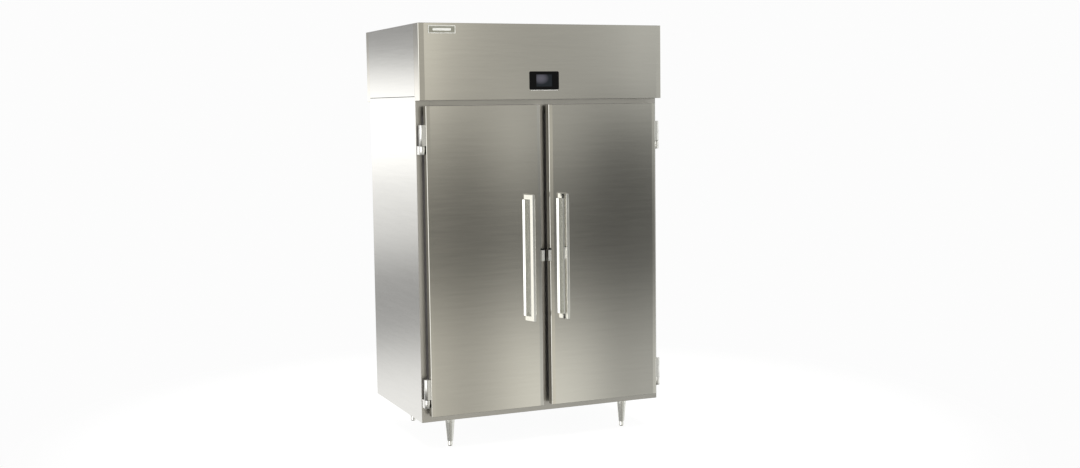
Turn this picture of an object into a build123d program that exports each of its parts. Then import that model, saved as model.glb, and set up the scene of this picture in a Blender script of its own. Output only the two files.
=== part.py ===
"""Two-door reach-in proofing cabinet. Millimetres, +Z up, front towards -Y.

Origin: centre of the floor under the whole cabinet. The face frame's front is the plane
that doors, hinges and hood are measured from.
"""
from build123d import *
import os

# ---- overall sizes ----
HEIGHT = 2115.0            # floor to top of hood
BODY_WIDTH = 1314.0
BODY_DEPTH = 780.0         # face frame to back panel
LEG_HEIGHT = 150.0         # floor to cabinet bottom
HOOD_HEIGHT = 354.0
HOOD_FRONT_OVERHANG = 68.0
HOOD_REAR_OVERHANG = 58.0
HOOD_SKIRT = 18.0          # how far fascia and rear cover hang below the hood seam
HOOD_RETURN = 8.0          # how far the fascia's side returns reach behind the face frame
HOOD_GAP = 3.0             # shadow gap between body sides and hood side panels
DOOR_STANDOFF = 62.0       # face frame to door front
HANDLE_PROJECTION = 62.0   # door front to grip front

# ---- sheet and walls ----
SHEET = 1.2
CORNER_FOLD = 2.5          # flat across each outer front corner of the doors, fascia and rear cover
WALL = 60.0                # outer skin to liner skin, both included
FRAME_DEPTH = 25.0

# ---- face frame and doors ----
DOOR_SIDE_INSET = 32.5     # cabinet side to door edge
DOOR_GAP = 45.0            # between the two doors
DOOR_BOTTOM_INSET = 38.0   # cabinet bottom to door bottom
DOOR_TOP_INSET = 44.0      # hood seam to door top
DOOR_THICKNESS = 40.0
DOOR_BEVEL_WIDTH = 20.0
DOOR_BEVEL_DEPTH = 3.0
DOOR_SHEET = 1.5
GASKET_WIDTH = 20.0
GASKET_SIDE_INSET = 8.0
GASKET_END_INSET = 47.0
GASKET_WALL = 3.5
GASKET_CLEARANCE = 0.3
SEAT_MARGIN = 12.0         # frame left between gasket and opening

# ---- hinges ----
PIN_RADIUS = 4.0
PIN_CLEARANCE = 0.05
PIN_SIDE_OFFSET = 15.5     # pin centre outboard of the door edge
PIN_FRONT_OFFSET = 38.0    # pin centre in front of the face frame
KNUCKLE_RADIUS = 14.5
HINGE_ARM_HEIGHT = 102.0
HINGE_BRACKET_HEIGHT = 42.0
HINGE_TOP_INSET = 92.0     # door top to upper hinge's top
HINGE_BOTTOM_INSET = 42.0  # door bottom to lower hinge's bottom
HINGE_GAP = 0.4

# ---- handles and locks ----
HANDLE_HEIGHT = 636.0
HANDLE_Z = 952.0           # middle height
HANDLE_SIDE_INSET = 70.5   # door's free edge to handle centre line
HANDLE_PLATE_WIDTH = 70.0
HANDLE_PLATE_THICK = 9.0
HANDLE_BRACKET_HEIGHT = 24.0
HANDLE_BRACKET_ROOT = 52.0
GRIP_WIDTH = 25.0
GRIP_DEPTH = 18.0
GRIP_FRONT_WIDTH = 12.0
LOCK_HEIGHT = 56.0
LOCK_Z = 957.0
LOCK_REACH = 12.0          # past the door's free edge
LOCK_WRAP = 4.0
LOCK_DEPTH = 30.0

# ---- fascia ----
FASCIA_BEVEL_WIDTH = 28.0
FASCIA_BEVEL_DEPTH = 4.0
FASCIA_SHEET = 1.5
DISPLAY_WIDTH = 154.0
DISPLAY_HEIGHT = 86.0
DISPLAY_Z_BELOW_TOP = 279.0
DISPLAY_X = -3.0
SCREEN_WIDTH = 86.0
SCREEN_HEIGHT = 60.0
BADGE_WIDTH = 138.0
BADGE_HEIGHT = 37.0
BADGE_SIDE_INSET = 50.0
BADGE_TOP_INSET = 13.0

# ---- legs ----
LEG_SIDE_INSET = 172.0
LEG_FRONT_INSET = 76.0
LEG_REAR_INSET = 92.0
LEG_TOP_RADIUS = 24.0
LEG_BOTTOM_RADIUS = 15.0
LEG_PLATE_SIZE = 90.0
LEG_PLATE_THICK = 4.0
FOOT_HEIGHT = 24.0
FOOT_RADIUS = 12.5
STUD_RADIUS = 8.0
STUD_LENGTH = 70.0
STUD_CLEARANCE = 0.3

# ---- interior ----
SHELF_COUNT = 3
SHELF_FIRST = 330.0        # above the floor liner
SHELF_PITCH = 330.0
SHELF_ROD_RADIUS = 3.5
SHELF_WIRE_RADIUS = 2.0
SHELF_WIRE_PITCH = 34.0
SHELF_SIDE_GAP = 6.0
SHELF_DEPTH = 560.0
PILASTER_WIDTH = 25.0
PILASTER_DEPTH = 8.0
PILASTER_SLOT = (12.0, 6.0)
PILASTER_SLOT_PITCH = 110.0
PILASTER_INSET = 90.0      # from liner back and frame to pilaster centre
CLIP_SIZE = 14.0
FAN_RADIUS = 80.0
FAN_HEIGHT = 28.0
FAN_SHAFT_RADIUS = 5.0
FAN_SHAFT_CLEARANCE = 4.0
DUCT_WIDTH = 900.0
DUCT_DEPTH = 330.0
DUCT_HEIGHT = 48.0
DUCT_SHEET = 1.2
HEATER_ROD_RADIUS = 4.0
HEATER_BEND = 30.0
TANK_SIZE = (260.0, 180.0, 150.0)
TANK_X = 330.0
STEAM_PIPE_RADIUS = 12.0
INLET_RADIUS = 10.0
INLET_X = 520.0
INLET_DROP = 120.0         # below the hood seam
INLET_REACH = 40.0
INLET_FLANGE = 5.0

# ---- worked out ----
HALF = BODY_WIDTH / 2
TOTAL_DEPTH = DOOR_STANDOFF + HANDLE_PROJECTION + BODY_DEPTH + HOOD_REAR_OVERHANG
FACE = DOOR_STANDOFF + HANDLE_PROJECTION - TOTAL_DEPTH / 2
BACK = FACE + BODY_DEPTH
BOTTOM = LEG_HEIGHT
SEAM = HEIGHT - HOOD_HEIGHT
DOOR_FRONT = FACE - DOOR_STANDOFF
DOOR_REAR = DOOR_FRONT + DOOR_THICKNESS
DOOR_LOW = BOTTOM + DOOR_BOTTOM_INSET
DOOR_HIGH = SEAM - DOOR_TOP_INSET
DOOR_INNER = DOOR_GAP / 2
DOOR_OUTER = HALF - DOOR_SIDE_INSET
STILE_WIDTH = DOOR_SIDE_INSET + GASKET_SIDE_INSET + GASKET_WIDTH + SEAT_MARGIN
MULLION_WIDTH = DOOR_GAP + 2 * (GASKET_SIDE_INSET + GASKET_WIDTH + SEAT_MARGIN)
END_SEAT = GASKET_END_INSET + GASKET_WIDTH + SEAT_MARGIN
OPEN_LOW = DOOR_LOW + END_SEAT
OPEN_HIGH = DOOR_HIGH - END_SEAT
PIN_X = DOOR_OUTER + PIN_SIDE_OFFSET
PIN_Y = FACE - PIN_FRONT_OFFSET
LINER = HALF - WALL
FLOOR = BOTTOM + WALL
CEILING = SEAM - WALL
LINER_BACK = BACK - WALL
LINER_FRONT = FACE + FRAME_DEPTH
HOOD_FRONT = FACE - HOOD_FRONT_OVERHANG
HOOD_BACK = BACK + HOOD_REAR_OVERHANG
SKIRT_LOW = SEAM - HOOD_SKIRT
FAN_Y = (LINER_FRONT + LINER_BACK) / 2
HINGE_LOWS = (DOOR_LOW + HINGE_BOTTOM_INSET,
              DOOR_HIGH - HINGE_TOP_INSET - HINGE_ARM_HEIGHT - HINGE_BRACKET_HEIGHT)
SIDES = (("left", -1), ("right", 1))


def block(x0, x1, y0, y1, z0, z1):
    """A box between two corners, in any order."""
    size = (abs(x1 - x0), abs(y1 - y0), abs(z1 - z0))
    return Pos((x0 + x1) / 2, (y0 + y1) / 2, (z0 + z1) / 2) * Box(*size)


def rod(x, y, z0, z1, radius):
    """An upright cylinder."""
    return Pos(x, y, (z0 + z1) / 2) * Cylinder(radius, abs(z1 - z0))


def rod_x(x0, x1, y, z, radius):
    """A cylinder along X."""
    return Pos((x0 + x1) / 2, y, z) * Rot(0, 90, 0) * Cylinder(radius, abs(x1 - x0))


def rod_y(x, y0, y1, z, radius):
    """A cylinder along Y."""
    return Pos(x, (y0 + y1) / 2, z) * Rot(90, 0, 0) * Cylinder(radius, abs(y1 - y0))


def prism(points, z0, z1):
    """A plan outline pulled up from z0 to z1."""
    return extrude(Plane.XY.offset(z0) * make_face(Polyline(*points, close=True)), z1 - z0)


def write(name, *shapes):
    """Write one node; several shapes are kept as separate solids."""
    solids = [solid for shape in shapes for solid in shape.solids()]
    export_step(Compound(children=solids) if len(solids) > 1 else solids[0], f"parts/{name}.step")


# ---- carcass ----
def make_outer_panels():
    for name, s in SIDES:
        write(f"{name}_side_panel", block(s * HALF, s * (HALF - SHEET), FACE, BACK, BOTTOM, SEAM))
    inside = HALF - SHEET
    write("back_panel", block(-inside, inside, BACK - SHEET, BACK, BOTTOM, SEAM))
    write("bottom_panel", block(-inside, inside, LINER_FRONT, BACK - SHEET, BOTTOM, BOTTOM + SHEET))
    top = block(-inside, inside, LINER_FRONT, BACK - SHEET, SEAM - SHEET, SEAM)
    write("top_panel", top - shaft_hole() - steam_hole())


def make_liners():
    for name, s in SIDES:
        write(f"{name}_liner", block(s * LINER, s * (LINER + SHEET), LINER_FRONT, LINER_BACK, FLOOR, CEILING))
    write("back_liner", block(-LINER - SHEET, LINER + SHEET, LINER_BACK, LINER_BACK + SHEET, FLOOR, CEILING))
    edge = LINER + SHEET
    write("floor_liner", block(-edge, edge, LINER_FRONT, LINER_BACK + SHEET, FLOOR - SHEET, FLOOR))
    ceiling = block(-edge, edge, LINER_FRONT, LINER_BACK + SHEET, CEILING, CEILING + SHEET)
    write("ceiling_liner", ceiling - shaft_hole() - steam_hole())


def make_insulation():
    outside = HALF - SHEET
    foam = block(-outside, outside, LINER_FRONT, BACK - SHEET, BOTTOM + SHEET, SEAM - SHEET)
    edge = LINER + SHEET
    room = block(-edge, edge, LINER_FRONT, LINER_BACK + SHEET, FLOOR - SHEET, CEILING + SHEET)
    write("cabinet_insulation", foam - room - shaft_hole() - steam_hole())


def channel(x0, x1, z0, z1):
    """One member of the face frame: a sheet channel, open to the back."""
    outer = block(x0, x1, FACE, LINER_FRONT, z0, z1)
    inner = block(x0 + SHEET, x1 - SHEET, FACE + SHEET, LINER_FRONT, z0 + SHEET, z1 - SHEET)
    return outer - inner


def make_face_frame():
    inside = HALF - SHEET
    stile = HALF - STILE_WIDTH
    write("left_frame_stile", channel(-inside, -stile, BOTTOM, SEAM))
    write("right_frame_stile", channel(stile, inside, BOTTOM, SEAM))
    write("frame_top_rail", channel(-stile, stile, OPEN_HIGH, SEAM))
    write("frame_bottom_rail", channel(-stile, stile, BOTTOM, OPEN_LOW))
    write("centre_mullion", channel(-MULLION_WIDTH / 2, MULLION_WIDTH / 2, OPEN_LOW, OPEN_HIGH))


def make_breaker_strips():
    """Plastic strips round the room's mouth, between face frame and liner."""
    thick = 3.0
    lip = 14.0
    rings = block(-LINER, LINER, LINER_FRONT, LINER_FRONT + lip, FLOOR, CEILING)
    rings -= block(-LINER + thick, LINER - thick, LINER_FRONT, LINER_FRONT + lip,
                   FLOOR + thick, CEILING - thick)
    write("breaker_strips", rings)


# ---- hood ----
def bevelled_outline(depth_sign, front, rear, half, bevel_width, bevel_depth):
    """Plan outline of a wrap-round panel: a shallow bevel, then a small 45 degree corner, at each end."""
    shoulder = front + depth_sign * (bevel_depth + CORNER_FOLD)
    nose = front + depth_sign * bevel_depth * (1 - CORNER_FOLD / bevel_width)
    return [(-half, rear), (-half, shoulder), (-half + CORNER_FOLD, nose), (-half + bevel_width, front),
            (half - bevel_width, front), (half - CORNER_FOLD, nose), (half, shoulder), (half, rear)]


def make_fascia():
    rear = FACE + HOOD_RETURN
    outer = prism(bevelled_outline(1, HOOD_FRONT, rear, HALF, FASCIA_BEVEL_WIDTH, FASCIA_BEVEL_DEPTH),
                  SKIRT_LOW, HEIGHT)
    inner_half = HALF - FASCIA_SHEET
    core = bevelled_outline(1, HOOD_FRONT + FASCIA_SHEET, rear, inner_half,
                            FASCIA_BEVEL_WIDTH, FASCIA_BEVEL_DEPTH)
    fascia = outer - prism(core, SKIRT_LOW + FASCIA_SHEET, HEIGHT)
    fascia -= block(-inner_half, inner_half, FACE - FASCIA_BEVEL_DEPTH, rear, SKIRT_LOW, SEAM)
    fascia -= block(-HALF, HALF, FACE, rear, SKIRT_LOW, SEAM)
    fascia -= display_block(DISPLAY_WIDTH - 2 * FASCIA_SHEET, DISPLAY_HEIGHT - 2 * FASCIA_SHEET,
                            HOOD_FRONT - FASCIA_SHEET, HOOD_FRONT + 2 * FASCIA_SHEET)
    write("hood_fascia", fascia)


def make_hood_shell():
    for name, s in SIDES:
        write(f"hood_{name}_panel",
              block(s * HALF, s * (HALF - SHEET), FACE + HOOD_RETURN, BACK, SEAM + HOOD_GAP, HEIGHT))
    outer = prism(bevelled_outline(-1, HOOD_BACK, BACK, HALF, FASCIA_BEVEL_WIDTH, FASCIA_BEVEL_DEPTH),
                  SKIRT_LOW, HEIGHT)
    core = bevelled_outline(-1, HOOD_BACK - FASCIA_SHEET, BACK, HALF - FASCIA_SHEET,
                            FASCIA_BEVEL_WIDTH, FASCIA_BEVEL_DEPTH)
    cover = outer - prism(core, SKIRT_LOW, HEIGHT)
    write("hood_rear_cover", cover - vents())
    inside = HALF - FASCIA_SHEET
    top = block(-inside, inside, FACE + HOOD_RETURN, BACK, HEIGHT - FASCIA_SHEET, HEIGHT)
    ends = ((1, HOOD_FRONT + FASCIA_SHEET, FACE + HOOD_RETURN), (-1, HOOD_BACK - FASCIA_SHEET, BACK))
    for sign, front, rear in ends:
        outline = bevelled_outline(sign, front, rear, inside, FASCIA_BEVEL_WIDTH, FASCIA_BEVEL_DEPTH)
        top += prism(outline, HEIGHT - FASCIA_SHEET, HEIGHT)
    write("hood_top_cover", top)


def vents():
    """Two groups of upright slots through the rear cover."""
    slot_width, slot_height, pitch, count = 8.0, 120.0, 24.0, 10
    low = SEAM + (HOOD_HEIGHT - slot_height) / 2
    slots = []
    for centre in (-HALF / 2, HALF / 2):
        for i in range(count):
            x = centre + (i - (count - 1) / 2) * pitch
            slots.append(block(x - slot_width / 2, x + slot_width / 2, HOOD_BACK - 2 * FASCIA_SHEET,
                               HOOD_BACK + FASCIA_SHEET, low, low + slot_height))
    return Compound(children=slots)


def display_block(width, height, y0, y1):
    """A block centred on the display."""
    z = HEIGHT - DISPLAY_Z_BELOW_TOP
    return block(DISPLAY_X - width / 2, DISPLAY_X + width / 2, y0, y1, z - height / 2, z + height / 2)


def make_display():
    lip, window_depth, corner = 2.5, 6.0, 7.0
    body_width = DISPLAY_WIDTH - 2 * FASCIA_SHEET
    body_height = DISPLAY_HEIGHT - 2 * FASCIA_SHEET
    bezel = display_block(DISPLAY_WIDTH + 2 * lip, DISPLAY_HEIGHT + 2 * lip, HOOD_FRONT - lip, HOOD_FRONT)
    bezel = fillet(bezel.edges().filter_by(Axis.Y), corner)
    bezel += display_block(body_width, body_height, HOOD_FRONT, HOOD_FRONT + window_depth)
    bezel -= display_block(SCREEN_WIDTH, SCREEN_HEIGHT, HOOD_FRONT - lip, HOOD_FRONT + window_depth)
    write("display_bezel", bezel)
    write("display_screen", display_block(SCREEN_WIDTH, SCREEN_HEIGHT, HOOD_FRONT, HOOD_FRONT + window_depth))
    board_rear = HOOD_FRONT + window_depth + FASCIA_SHEET
    write("control_board", display_block(body_width, body_height, HOOD_FRONT + window_depth, board_rear))


def make_badge():
    """A blank plate with a raised rim and a raised plain bar with round ends."""
    thick, rim = 1.5, 3.0
    left = -HALF + BADGE_SIDE_INSET
    high = HEIGHT - BADGE_TOP_INSET
    plate = block(left, left + BADGE_WIDTH, HOOD_FRONT - 2 * thick, HOOD_FRONT, high - BADGE_HEIGHT, high)
    plate -= block(left + rim, left + BADGE_WIDTH - rim, HOOD_FRONT - 2 * thick, HOOD_FRONT - thick,
                   high - BADGE_HEIGHT + rim, high - rim)
    bar_half, bar_radius = 0.3 * BADGE_WIDTH, 0.16 * BADGE_HEIGHT
    x, z = left + BADGE_WIDTH / 2, high - BADGE_HEIGHT / 2
    bar_front, bar_rear = HOOD_FRONT - 2 * thick, HOOD_FRONT - thick
    plate += block(x - bar_half, x + bar_half, bar_front, bar_rear, z - bar_radius, z + bar_radius)
    for end in (x - bar_half, x + bar_half):
        plate += rod_y(end, bar_front, bar_rear, z, bar_radius)
    write("badge_plate", plate)


# ---- doors ----
def door_block(s, side_inset, y0, y1, end_inset):
    """A block inside one door's outline, inset at its sides and ends."""
    return block(s * (DOOR_INNER + side_inset), s * (DOOR_OUTER - side_inset), y0, y1,
                 DOOR_LOW + end_inset, DOOR_HIGH - end_inset)


def make_door(name, s):
    middle, half = s * (DOOR_INNER + DOOR_OUTER) / 2, (DOOR_OUTER - DOOR_INNER) / 2
    plan = [(middle + x, y) for x, y in
            bevelled_outline(1, DOOR_FRONT, DOOR_REAR, half, DOOR_BEVEL_WIDTH, DOOR_BEVEL_DEPTH)]
    core_front = DOOR_FRONT + DOOR_BEVEL_DEPTH + CORNER_FOLD + DOOR_SHEET
    liner_front = DOOR_REAR - DOOR_SHEET
    pan = prism(plan, DOOR_LOW, DOOR_HIGH)
    write(f"{name}_door_skin", pan - door_block(s, DOOR_SHEET, core_front, DOOR_REAR, DOOR_SHEET))
    write(f"{name}_door_liner", door_block(s, DOOR_SHEET, liner_front, DOOR_REAR, DOOR_SHEET))
    write(f"{name}_door_insulation", door_block(s, DOOR_SHEET, core_front, liner_front, DOOR_SHEET))
    write(f"{name}_door_gasket", gasket(s))
    write(f"{name}_door_handle", handle(s))
    write(f"{name}_lock_case", lock_case(s))
    write(f"{name}_hinge_arms", *[hinge_arm(s, low) for low in HINGE_LOWS])


def gasket(s):
    """A hollow rubber bulb that runs round the back of the door."""
    rear = FACE - GASKET_CLEARANCE
    ring = door_block(s, GASKET_SIDE_INSET, DOOR_REAR, rear, GASKET_END_INSET)
    ring -= door_block(s, GASKET_SIDE_INSET + GASKET_WIDTH, DOOR_REAR, rear, GASKET_END_INSET + GASKET_WIDTH)
    hollow_in, hollow_out = GASKET_WALL, GASKET_WIDTH - GASKET_WALL
    hollow = door_block(s, GASKET_SIDE_INSET + hollow_in, DOOR_REAR + GASKET_WALL, rear - GASKET_WALL,
                        GASKET_END_INSET + hollow_in)
    hollow -= door_block(s, GASKET_SIDE_INSET + hollow_out, DOOR_REAR, rear, GASKET_END_INSET + hollow_out)
    return ring - hollow


def handle(s):
    """A pull: a back plate, two tapered end brackets and a grip bar with bevelled long edges."""
    x = s * (DOOR_INNER + HANDLE_SIDE_INSET)
    front = DOOR_FRONT - HANDLE_PROJECTION
    grip_rear = front + GRIP_DEPTH
    low, high = HANDLE_Z - HANDLE_HEIGHT / 2, HANDLE_Z + HANDLE_HEIGHT / 2
    plate_half, plate_bevel = HANDLE_PLATE_WIDTH / 2, 9.0
    plate_front = DOOR_FRONT - HANDLE_PLATE_THICK
    plate = prism([(x - plate_half, DOOR_FRONT), (x - plate_half, DOOR_FRONT - 1),
                   (x - plate_half + plate_bevel, plate_front), (x + plate_half - plate_bevel, plate_front),
                   (x + plate_half, DOOR_FRONT - 1), (x + plate_half, DOOR_FRONT)],
                  low + HANDLE_BRACKET_HEIGHT, high - HANDLE_BRACKET_HEIGHT)
    root, grip, nose = HANDLE_BRACKET_ROOT / 2, GRIP_WIDTH / 2, GRIP_FRONT_WIDTH / 2
    bracket = [(x - root, DOOR_FRONT), (x - grip, grip_rear), (x - nose, front), (x + nose, front),
               (x + grip, grip_rear), (x + root, DOOR_FRONT)]
    bar = prism([(x - grip, grip_rear), (x - nose, front), (x + nose, front), (x + grip, grip_rear)], low, high)
    ends = [prism(bracket, z, z + HANDLE_BRACKET_HEIGHT) for z in (low, high - HANDLE_BRACKET_HEIGHT)]
    return plate + bar + ends[0] + ends[1]


def lock_case(s):
    """A small case that wraps the door's free edge."""
    skin = DOOR_FRONT - 2.5
    case = block(s * (DOOR_INNER - LOCK_REACH), s * (DOOR_INNER + LOCK_WRAP), skin, skin + LOCK_DEPTH,
                 LOCK_Z - LOCK_HEIGHT / 2, LOCK_Z + LOCK_HEIGHT / 2)
    return case - block(s * DOOR_INNER, s * (DOOR_INNER + LOCK_WRAP), DOOR_FRONT, skin + LOCK_DEPTH,
                        LOCK_Z - LOCK_HEIGHT / 2, LOCK_Z + LOCK_HEIGHT / 2)


def hinge_arm(s, low):
    """The door's half of a hinge: a knuckle and a pad on the door's edge."""
    z0, z1 = low + HINGE_BRACKET_HEIGHT + HINGE_GAP, low + HINGE_BRACKET_HEIGHT + HINGE_ARM_HEIGHT
    x = s * PIN_X
    knuckle = rod(x, PIN_Y, z0, z1, KNUCKLE_RADIUS)
    knuckle += block(x, s * DOOR_OUTER, PIN_Y - KNUCKLE_RADIUS, DOOR_REAR - 1, z0, z1)
    return knuckle - rod(x, PIN_Y, z0, z1, PIN_RADIUS + PIN_CLEARANCE)


def hinge_bracket(s, low):
    """The cabinet's half of a hinge: a knuckle that stands off the face frame."""
    high = low + HINGE_BRACKET_HEIGHT
    x = s * PIN_X
    bracket = rod(x, PIN_Y, low, high, KNUCKLE_RADIUS)
    bracket += block(x - KNUCKLE_RADIUS, x + KNUCKLE_RADIUS, PIN_Y, FACE, low, high)
    return bracket - rod(x, PIN_Y, low, high, PIN_RADIUS)


def make_hinges():
    places = [(s, low) for _, s in SIDES for low in HINGE_LOWS]
    write("hinge_brackets", *[hinge_bracket(s, low) for s, low in places])
    length = HINGE_BRACKET_HEIGHT + HINGE_ARM_HEIGHT - 4
    write("hinge_pins", *[rod(s * PIN_X, PIN_Y, low, low + length, PIN_RADIUS) for s, low in places])


# ---- base ----
def leg_places():
    x = HALF - LEG_SIDE_INSET
    return {"front_left": (-x, FACE + LEG_FRONT_INSET), "front_right": (x, FACE + LEG_FRONT_INSET),
            "rear_left": (-x, BACK - LEG_REAR_INSET), "rear_right": (x, BACK - LEG_REAR_INSET)}


def make_base():
    plates, legs = [], []
    plate_low = BOTTOM - LEG_PLATE_THICK
    for name, (x, y) in leg_places().items():
        half = LEG_PLATE_SIZE / 2
        plates.append(block(x - half, x + half, y - half, y + half, plate_low, BOTTOM))
        leg_height = plate_low - FOOT_HEIGHT
        leg = Pos(x, y, FOOT_HEIGHT + leg_height / 2) * Cone(LEG_BOTTOM_RADIUS, LEG_TOP_RADIUS, leg_height)
        legs.append(leg - rod(x, y, FOOT_HEIGHT, FOOT_HEIGHT + STUD_LENGTH + 2, STUD_RADIUS + STUD_CLEARANCE))
        foot = rod(x, y, 0, FOOT_HEIGHT, FOOT_RADIUS)
        write(f"{name}_foot", foot + rod(x, y, FOOT_HEIGHT, FOOT_HEIGHT + STUD_LENGTH, STUD_RADIUS))
    write("leg_plates", *plates)
    write("legs", *legs)


# ---- shelves ----
def shelf_span():
    """The two ends of one section's shelves, for the section on the +X side."""
    return PILASTER_DEPTH / 2 + SHELF_SIDE_GAP, LINER - PILASTER_DEPTH - SHELF_SIDE_GAP


def make_shelf(s, z):
    """A wire shelf: a rod frame with wires laid across it."""
    x0, x1 = shelf_span()
    y0 = (LINER_FRONT + LINER_BACK - SHELF_DEPTH) / 2
    y1 = y0 + SHELF_DEPTH
    r = SHELF_ROD_RADIUS
    shelf = block(s * x0, s * x1, y0, y0 + 2 * r, z, z + 2 * r) + block(s * x0, s * x1, y1 - 2 * r, y1, z, z + 2 * r)
    shelf += block(s * x0, s * (x0 + 2 * r), y0, y1, z, z + 2 * r)
    shelf += block(s * (x1 - 2 * r), s * x1, y0, y1, z, z + 2 * r)
    count = int((x1 - x0) / SHELF_WIRE_PITCH)
    wires = [rod_y(s * (x0 + (i + 0.5) * (x1 - x0) / count), y0 + r, y1 - r, z + r, SHELF_WIRE_RADIUS)
             for i in range(count)]
    return shelf.fuse(*wires)


def make_shelves():
    heights = [FLOOR + SHELF_FIRST + i * SHELF_PITCH for i in range(SHELF_COUNT)]
    for name, s in SIDES:
        first = make_shelf(s, heights[0])
        write(f"{name}_shelves", *[Pos(0, 0, z - heights[0]) * first for z in heights])
    make_pilasters(heights)


def pilaster(x, y, length):
    """A slotted upright strip, standing on z = 0 and centred on x, y."""
    strip = block(x - PILASTER_DEPTH / 2, x + PILASTER_DEPTH / 2, y - PILASTER_WIDTH / 2, y + PILASTER_WIDTH / 2,
                  0, length)
    width, height = PILASTER_SLOT
    slots = []
    for i in range(int(length / PILASTER_SLOT_PITCH)):
        z = (i + 0.5) * PILASTER_SLOT_PITCH
        slots.append(block(x - PILASTER_DEPTH, x + PILASTER_DEPTH, y - width / 2, y + width / 2, z, z + height))
    return strip - Compound(children=slots)


def make_pilasters(heights):
    low, length = FLOOR, CEILING - FLOOR - DUCT_HEIGHT
    ys = (LINER_FRONT + PILASTER_INSET, LINER_BACK - PILASTER_INSET)
    strips, clips = [], []
    wall_x = LINER - PILASTER_DEPTH / 2
    for y in ys:
        for x in (-wall_x, 0, wall_x):
            strips.append(Pos(x, y, low) * pilaster(0, 0, length))
        for _, s in SIDES:
            for face, reach in ((PILASTER_DEPTH / 2, 1), (LINER - PILASTER_DEPTH, -1)):
                for z in heights:
                    x0, x1 = s * face, s * (face + reach * (CLIP_SIZE + SHELF_SIDE_GAP))
                    clips.append(block(x0, x1, y - CLIP_SIZE / 2, y + CLIP_SIZE / 2, z - CLIP_SIZE, z))
    write("shelf_pilasters", *strips)
    write("shelf_clips", *clips)


# ---- heat and humidity ----
def shaft_hole():
    return rod(0, FAN_Y, CEILING - 1, SEAM + 1, FAN_SHAFT_RADIUS + FAN_SHAFT_CLEARANCE)


def steam_hole():
    return rod(TANK_X, FAN_Y, CEILING - 1, SEAM + 1, STEAM_PIPE_RADIUS)


def make_fan():
    motor_radius, motor_height, foot = 55.0, 110.0, 6.0
    motor = rod(0, FAN_Y, SEAM, SEAM + foot, motor_radius + 15) + rod(0, FAN_Y, SEAM, SEAM + motor_height, motor_radius)
    write("fan_motor", motor - rod(0, FAN_Y, SEAM, SEAM + foot, FAN_SHAFT_RADIUS + FAN_SHAFT_CLEARANCE))
    top = CEILING - 10
    hub = rod(0, FAN_Y, top - FAN_HEIGHT, SEAM + foot - 1, FAN_SHAFT_RADIUS)
    wheel = hub + rod(0, FAN_Y, top - 2, top, FAN_RADIUS) + rod(0, FAN_Y, top - FAN_HEIGHT, top, 14)
    blade_count, blade_thick, blade_width = 12, 2.0, 18.0
    blade = Pos(FAN_RADIUS - blade_width / 2, 0, 0) * Box(blade_width, blade_thick, FAN_HEIGHT - 2)
    for i in range(blade_count):
        wheel += Pos(0, FAN_Y, top - 2 - (FAN_HEIGHT - 2) / 2) * Rot(0, 0, i * 360 / blade_count) * blade
    write("fan_wheel", wheel)


def make_duct():
    """The plenum under the ceiling, with an inlet ring below the fan and slots along its front."""
    x, y = DUCT_WIDTH / 2, DUCT_DEPTH / 2
    low = CEILING - DUCT_HEIGHT
    duct = block(-x, x, FAN_Y - y, FAN_Y + y, low, CEILING)
    duct -= block(-x + DUCT_SHEET, x - DUCT_SHEET, FAN_Y - y + DUCT_SHEET, FAN_Y + y - DUCT_SHEET,
                  low + DUCT_SHEET, CEILING)
    duct -= rod(0, FAN_Y, low, low + DUCT_SHEET, FAN_RADIUS - 15)
    count, slot = 6, 90.0
    for i in range(count):
        centre = (i - (count - 1) / 2) * DUCT_WIDTH / count
        duct -= block(centre - slot / 2, centre + slot / 2, FAN_Y - y, FAN_Y - y + DUCT_SHEET, low + 16, low + 30)
    write("air_duct", duct)


def make_heater():
    """A hairpin element that lies beside the fan, with its two ends on the duct's end wall."""
    end = -DUCT_WIDTH / 2 + DUCT_SHEET
    z = CEILING - DUCT_HEIGHT / 2
    turn = end + DUCT_WIDTH / 2 - FAN_RADIUS - HEATER_BEND - 10
    hairpin = Line((end, FAN_Y - HEATER_BEND, z), (turn, FAN_Y - HEATER_BEND, z))
    hairpin += ThreePointArc((turn, FAN_Y - HEATER_BEND, z), (turn + HEATER_BEND, FAN_Y, z),
                             (turn, FAN_Y + HEATER_BEND, z))
    hairpin += Line((turn, FAN_Y + HEATER_BEND, z), (end, FAN_Y + HEATER_BEND, z))
    section = Plane(origin=(end, FAN_Y - HEATER_BEND, z), z_dir=(1, 0, 0)) * Circle(HEATER_ROD_RADIUS)
    write("air_heater", sweep(section, path=hairpin))


def make_steam():
    width, depth, height = TANK_SIZE
    wall = 2.0
    tank = block(TANK_X - width / 2, TANK_X + width / 2, FAN_Y - depth / 2, FAN_Y + depth / 2, SEAM, SEAM + height)
    tank -= block(TANK_X - width / 2 + wall, TANK_X + width / 2 - wall, FAN_Y - depth / 2 + wall,
                  FAN_Y + depth / 2 - wall, SEAM + wall, SEAM + height - wall)
    tank -= rod(TANK_X, FAN_Y, SEAM, SEAM + wall, STEAM_PIPE_RADIUS)
    write("steam_tank", tank)
    pipe = rod(TANK_X, FAN_Y, CEILING - 20, SEAM + wall, STEAM_PIPE_RADIUS)
    write("steam_pipe", pipe - rod(TANK_X, FAN_Y, CEILING - 20, SEAM + wall, STEAM_PIPE_RADIUS - 2))


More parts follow.
